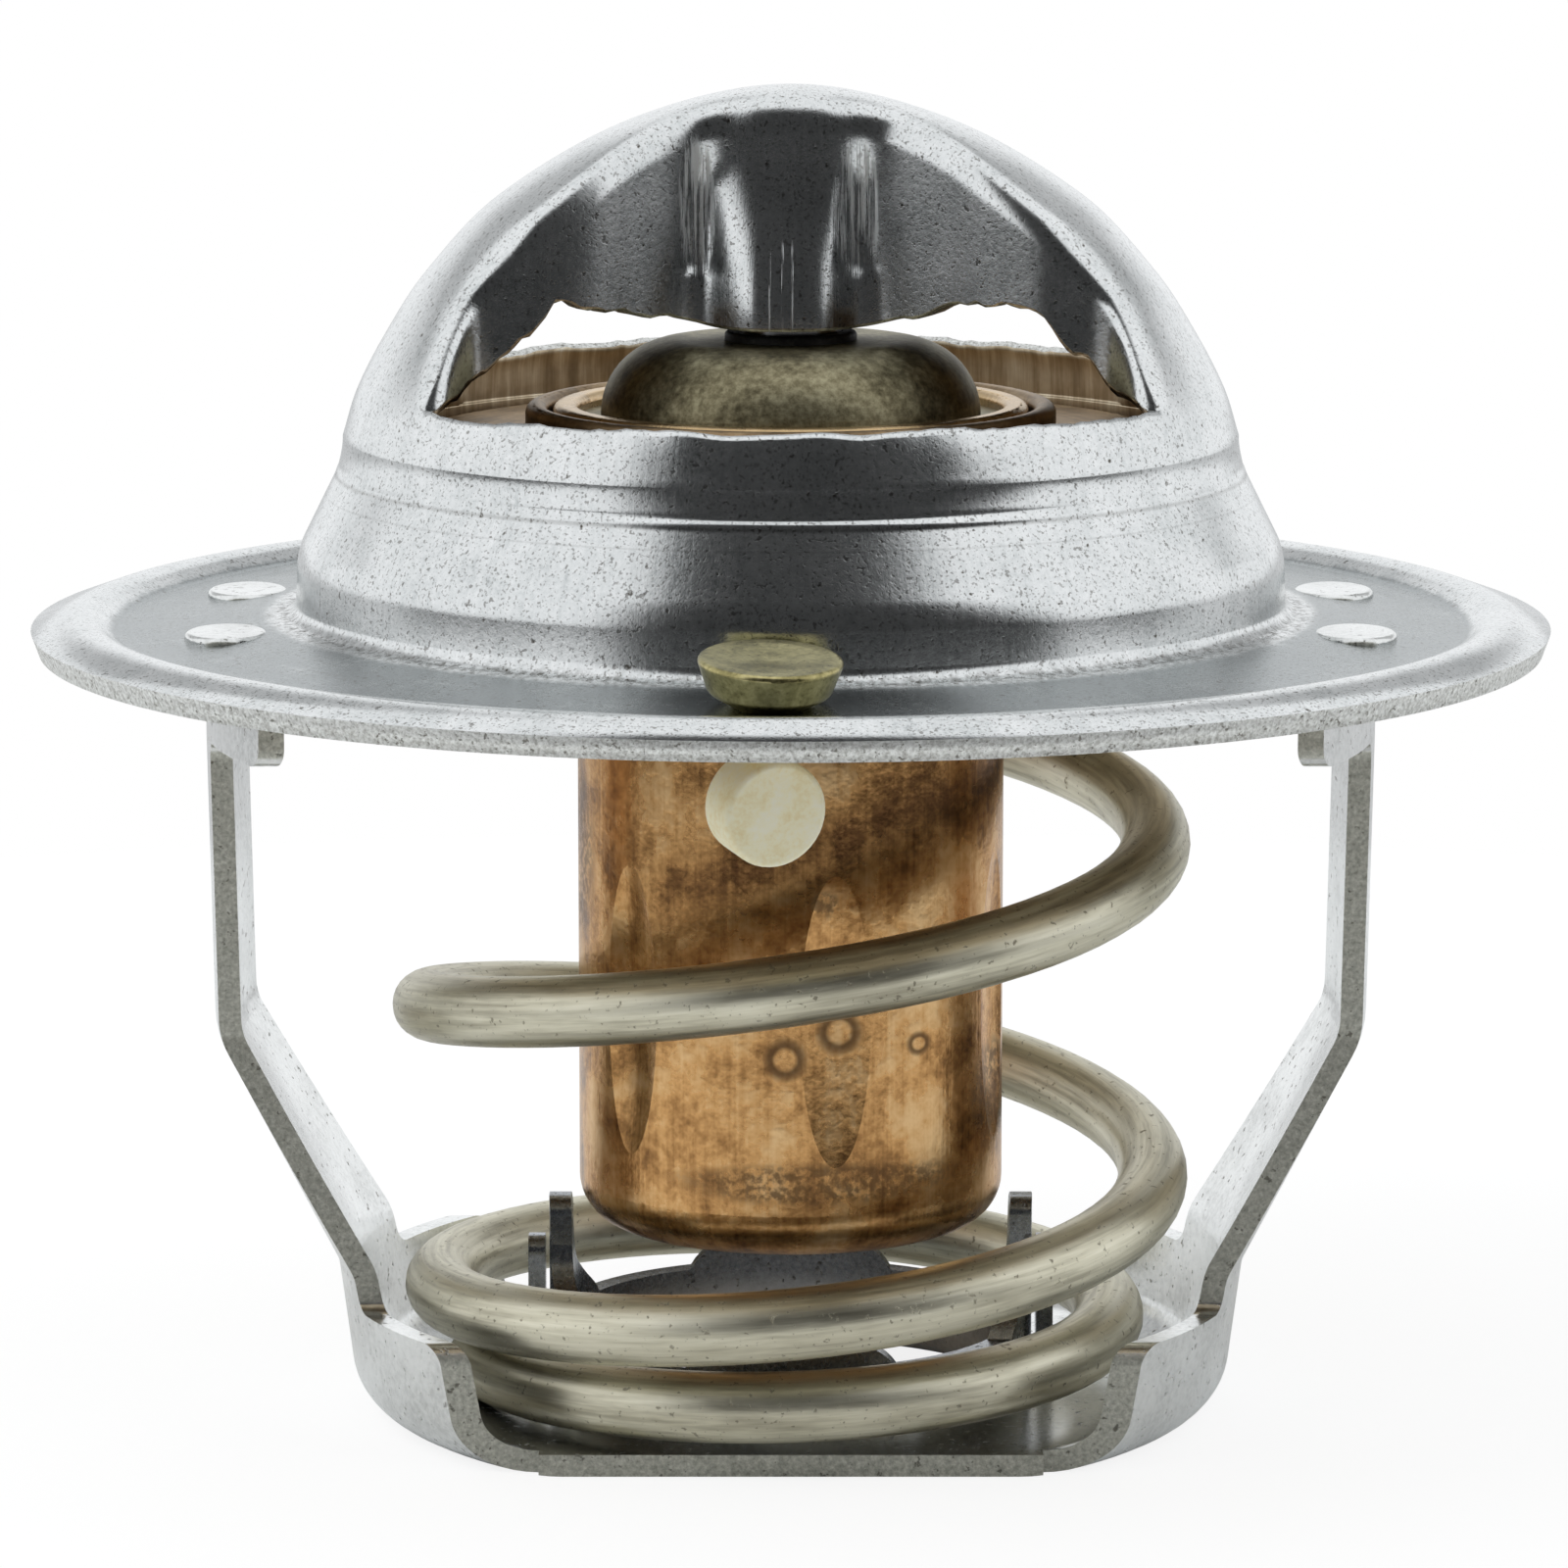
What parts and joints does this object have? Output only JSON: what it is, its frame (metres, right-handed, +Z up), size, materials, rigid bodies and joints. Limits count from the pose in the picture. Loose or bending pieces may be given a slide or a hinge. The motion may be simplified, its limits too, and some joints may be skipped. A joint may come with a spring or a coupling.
{
  "type": "engine thermostat",
  "caption": "Wax-capsule coolant thermostat: domed bridge crown on a round flange, drawn lower frame, return spring, copper capsule, valve plate and jiggle pin.",
  "frame": {"origin": "on the axis at the underside of the dished base", "axes": "+Z up the axis from the wax cup to the crown's nose; X across the bridge, from leg to leg; -Y is the side of the jiggle pin"},
  "size_m": [0.054, 0.054, 0.0476],
  "materials": {
    "pressed_steel": "bright drawn stainless sheet with fine pits",
    "frame_steel": "bright drawn stainless sheet, satin sheared edges",
    "piston_steel": "ground and polished",
    "spring_steel": "satin wire with a warm grey bloom",
    "copper": "drawn copper, mottled brown oxide",
    "wax": "dull wax, hidden inside the cup",
    "rubber": "matt black",
    "cover_brass": "turned brass, olive gold",
    "plate_brass": "dull brown pressed brass",
    "pin_brass": "bright yellow brass"
  },
  "bodies": {
    "housing": {"crown_flange": "pressed_steel", "lower_frame": "frame_steel", "piston": "piston_steel", "return_spring": "spring_steel"},
    "valve": {"wax_cup": "copper", "wax_charge": "wax", "rubber_sleeve": "rubber", "brass_cover": "cover_brass", "gland_ring": "rubber", "valve_plate": "plate_brass"},
    "jiggle_pin": {"jiggle_pin": "pin_brass"}
  },
  "joints": [
    {"name": "valve_lift", "type": "slide", "parent": "housing", "child": "valve", "axis": [0, 0, -1], "range_m": [0, 0.0065], "stiffness_N_per_m": 4000, "springref_m": -0.012, "deforming": ["return_spring"]},
    {"name": "jiggle_lift", "type": "slide", "parent": "housing", "child": "jiggle_pin", "axis": [0, 0, 1], "range_m": [0, 0.0005]}
  ]
}
